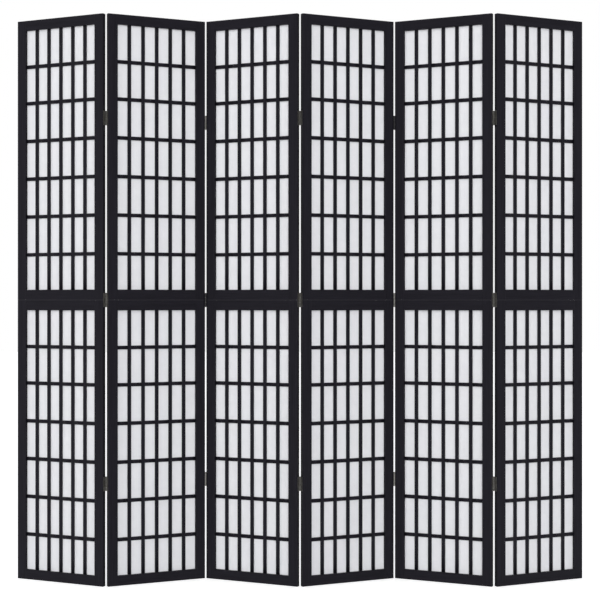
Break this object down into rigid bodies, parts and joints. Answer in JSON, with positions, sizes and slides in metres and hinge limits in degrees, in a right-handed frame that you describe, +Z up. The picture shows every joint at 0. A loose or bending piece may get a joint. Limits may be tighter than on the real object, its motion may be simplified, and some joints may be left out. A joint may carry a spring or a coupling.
{
  "type": "folding screen",
  "caption": "Free-standing zigzag folding screen: black lattice panels in stacked halves with white paper behind, joined by small butt hinges.",
  "frame": {"origin": "on the floor, under the middle of the screen standing in its zigzag", "axes": "+Z up, front towards -Y, +X to the right seen from the front"},
  "size_m": [2.2316, 0.1896, 2.2],
  "materials": {
    "lacquered_wood": "black satin lacquer",
    "shoji_paper": "white translucent, matte",
    "plain_wood": "planed, bare",
    "satin_steel": "satin"
  },
  "bodies": {
    "panel_1": {"panel_1_upper_frame": "lacquered_wood", "panel_1_upper_paper": "shoji_paper", "panel_1_lower_frame": "lacquered_wood", "panel_1_lower_paper": "shoji_paper", "panel_1_tongue": "plain_wood", "hinge_1_2_top_pin_leaf": "satin_steel", "hinge_1_2_middle_pin_leaf": "satin_steel", "hinge_1_2_bottom_pin_leaf": "satin_steel"},
    "panel_2": {"panel_2_upper_frame": "lacquered_wood", "panel_2_upper_paper": "shoji_paper", "panel_2_lower_frame": "lacquered_wood", "panel_2_lower_paper": "shoji_paper", "panel_2_tongue": "plain_wood", "hinge_1_2_top_plain_leaf": "satin_steel", "hinge_1_2_middle_plain_leaf": "satin_steel", "hinge_1_2_bottom_plain_leaf": "satin_steel", "hinge_2_3_top_pin_leaf": "satin_steel", "hinge_2_3_middle_pin_leaf": "satin_steel", "hinge_2_3_bottom_pin_leaf": "satin_steel"},
    "panel_3": {"panel_3_upper_frame": "lacquered_wood", "panel_3_upper_paper": "shoji_paper", "panel_3_lower_frame": "lacquered_wood", "panel_3_lower_paper": "shoji_paper", "panel_3_tongue": "plain_wood", "hinge_2_3_top_plain_leaf": "satin_steel", "hinge_2_3_middle_plain_leaf": "satin_steel", "hinge_2_3_bottom_plain_leaf": "satin_steel", "hinge_3_4_top_pin_leaf": "satin_steel", "hinge_3_4_middle_pin_leaf": "satin_steel", "hinge_3_4_bottom_pin_leaf": "satin_steel"},
    "panel_4": {"panel_4_upper_frame": "lacquered_wood", "panel_4_upper_paper": "shoji_paper", "panel_4_lower_frame": "lacquered_wood", "panel_4_lower_paper": "shoji_paper", "panel_4_tongue": "plain_wood", "hinge_3_4_top_plain_leaf": "satin_steel", "hinge_3_4_middle_plain_leaf": "satin_steel", "hinge_3_4_bottom_plain_leaf": "satin_steel", "hinge_4_5_top_pin_leaf": "satin_steel", "hinge_4_5_middle_pin_leaf": "satin_steel", "hinge_4_5_bottom_pin_leaf": "satin_steel"},
    "panel_5": {"panel_5_upper_frame": "lacquered_wood", "panel_5_upper_paper": "shoji_paper", "panel_5_lower_frame": "lacquered_wood", "panel_5_lower_paper": "shoji_paper", "panel_5_tongue": "plain_wood", "hinge_4_5_top_plain_leaf": "satin_steel", "hinge_4_5_middle_plain_leaf": "satin_steel", "hinge_4_5_bottom_plain_leaf": "satin_steel", "hinge_5_6_top_pin_leaf": "satin_steel", "hinge_5_6_middle_pin_leaf": "satin_steel", "hinge_5_6_bottom_pin_leaf": "satin_steel"},
    "panel_6": {"panel_6_upper_frame": "lacquered_wood", "panel_6_upper_paper": "shoji_paper", "panel_6_lower_frame": "lacquered_wood", "panel_6_lower_paper": "shoji_paper", "panel_6_tongue": "plain_wood", "hinge_5_6_top_plain_leaf": "satin_steel", "hinge_5_6_middle_plain_leaf": "satin_steel", "hinge_5_6_bottom_plain_leaf": "satin_steel"}
  },
  "joints": [
    {"name": "fold_1_2", "type": "hinge", "parent": "panel_2", "child": "panel_1", "pos_m": [-0.74563, -0.07506, 1.1], "axis": [0, 0, -1], "range_deg": [-51.54, 128.46]},
    {"name": "fold_2_3", "type": "hinge", "parent": "panel_3", "child": "panel_2", "pos_m": [-0.37281, 0.07506, 1.1], "axis": [0, 0, 1], "range_deg": [-51.54, 128.46]},
    {"name": "fold_3_4", "type": "hinge", "parent": "panel_3", "child": "panel_4", "pos_m": [0, -0.07506, 1.1], "axis": [0, 0, 1], "range_deg": [-51.54, 128.46]},
    {"name": "fold_4_5", "type": "hinge", "parent": "panel_4", "child": "panel_5", "pos_m": [0.37281, 0.07506, 1.1], "axis": [0, 0, -1], "range_deg": [-51.54, 128.46]},
    {"name": "fold_5_6", "type": "hinge", "parent": "panel_5", "child": "panel_6", "pos_m": [0.74563, -0.07506, 1.1], "axis": [0, 0, 1], "range_deg": [-51.54, 128.46]}
  ]
}
